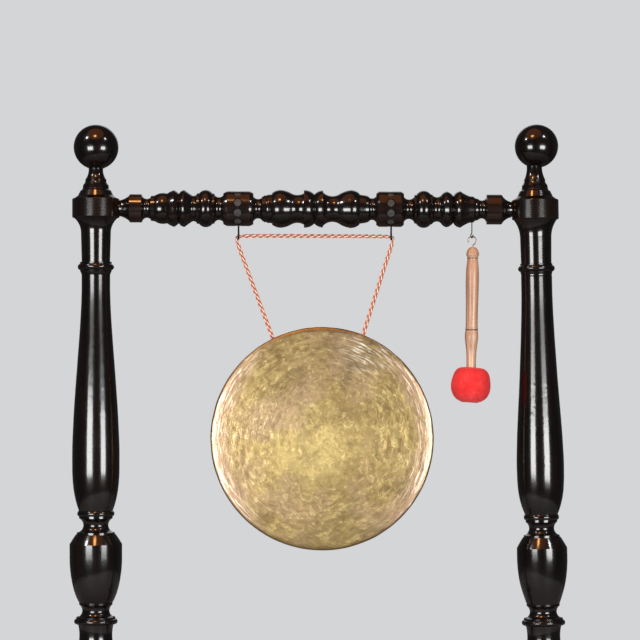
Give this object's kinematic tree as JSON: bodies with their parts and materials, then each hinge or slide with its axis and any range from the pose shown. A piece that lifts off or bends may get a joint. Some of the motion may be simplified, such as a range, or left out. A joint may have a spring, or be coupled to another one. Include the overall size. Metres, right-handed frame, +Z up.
{
  "type": "gong on floor stand",
  "caption": "Hammered bronze gong hung by a twisted cord from two hooks on a turned, ebonised floor stand, with a red felt mallet hanging beside it.",
  "frame": {"origin": "on the floor, under the middle of the stand", "axes": "+X along the top rail towards the mallet, -Y out of the gong's face, +Z up"},
  "size_m": [1.1307, 0.4742, 1.6045],
  "materials": {
    "ebonised_wood": "turned hardwood stained black and french polished to a high gloss",
    "rosette_wood": "carved, dusty and matt black",
    "hook_iron": "dark wrought wire, worn bright where it is handled",
    "bolt_steel": "plain steel",
    "bright_steel": "plated steel wire",
    "gong_bronze": "hand hammered bronze, mottled patina under old lacquer",
    "cord": "twisted cord of orange red and cream strands",
    "handle_wood": "pale natural wood, worn satin",
    "core_cork": "pressed cork",
    "red_felt": "thick red wool felt"
  },
  "bodies": {
    "stand": {"left_post": "ebonised_wood", "right_post": "ebonised_wood", "left_finial": "ebonised_wood", "right_finial": "ebonised_wood", "top_rail": "ebonised_wood", "lower_stretcher": "ebonised_wood", "left_foot": "ebonised_wood", "right_foot": "ebonised_wood", "left_front_bun_foot": "ebonised_wood", "left_back_bun_foot": "ebonised_wood", "right_front_bun_foot": "ebonised_wood", "right_back_bun_foot": "ebonised_wood", "left_rail_peg": "ebonised_wood", "right_rail_peg": "ebonised_wood", "left_stretcher_peg": "ebonised_wood", "right_stretcher_peg": "ebonised_wood", "left_rosettes": "rosette_wood", "right_rosettes": "rosette_wood", "left_gong_hook": "hook_iron", "right_gong_hook": "hook_iron", "mallet_hook": "hook_iron", "left_foot_bolt": "bolt_steel", "right_foot_bolt": "bolt_steel", "left_foot_washer": "bolt_steel", "right_foot_washer": "bolt_steel"},
    "sling": {"gong_cord": "cord", "left_cord_knot": "cord", "right_cord_knot": "cord"},
    "gong": {"gong": "gong_bronze"},
    "mallet": {"mallet_handle": "handle_wood", "mallet_screw_hook": "bright_steel", "mallet_core": "core_cork", "mallet_felt": "red_felt", "mallet_head_washer": "bright_steel", "mallet_head_screw": "bright_steel"}
  },
  "joints": [
    {"name": "sling_swing", "type": "hinge", "parent": "stand", "child": "sling", "pos_m": [0, 0, 1.3496], "axis": [1, 0, 0], "range_deg": [-25, 25]},
    {"name": "gong_tilt", "type": "hinge", "parent": "sling", "child": "gong", "pos_m": [-0.10723, 0, 1.11531], "axis": [0.999, 0, 0.0436], "range_deg": [-10, 10]},
    {"name": "mallet_swing", "type": "hinge", "parent": "stand", "child": "mallet", "pos_m": [0.34162, 0, 1.3496], "axis": [1, 0, 0], "range_deg": [-30, 30]}
  ]
}
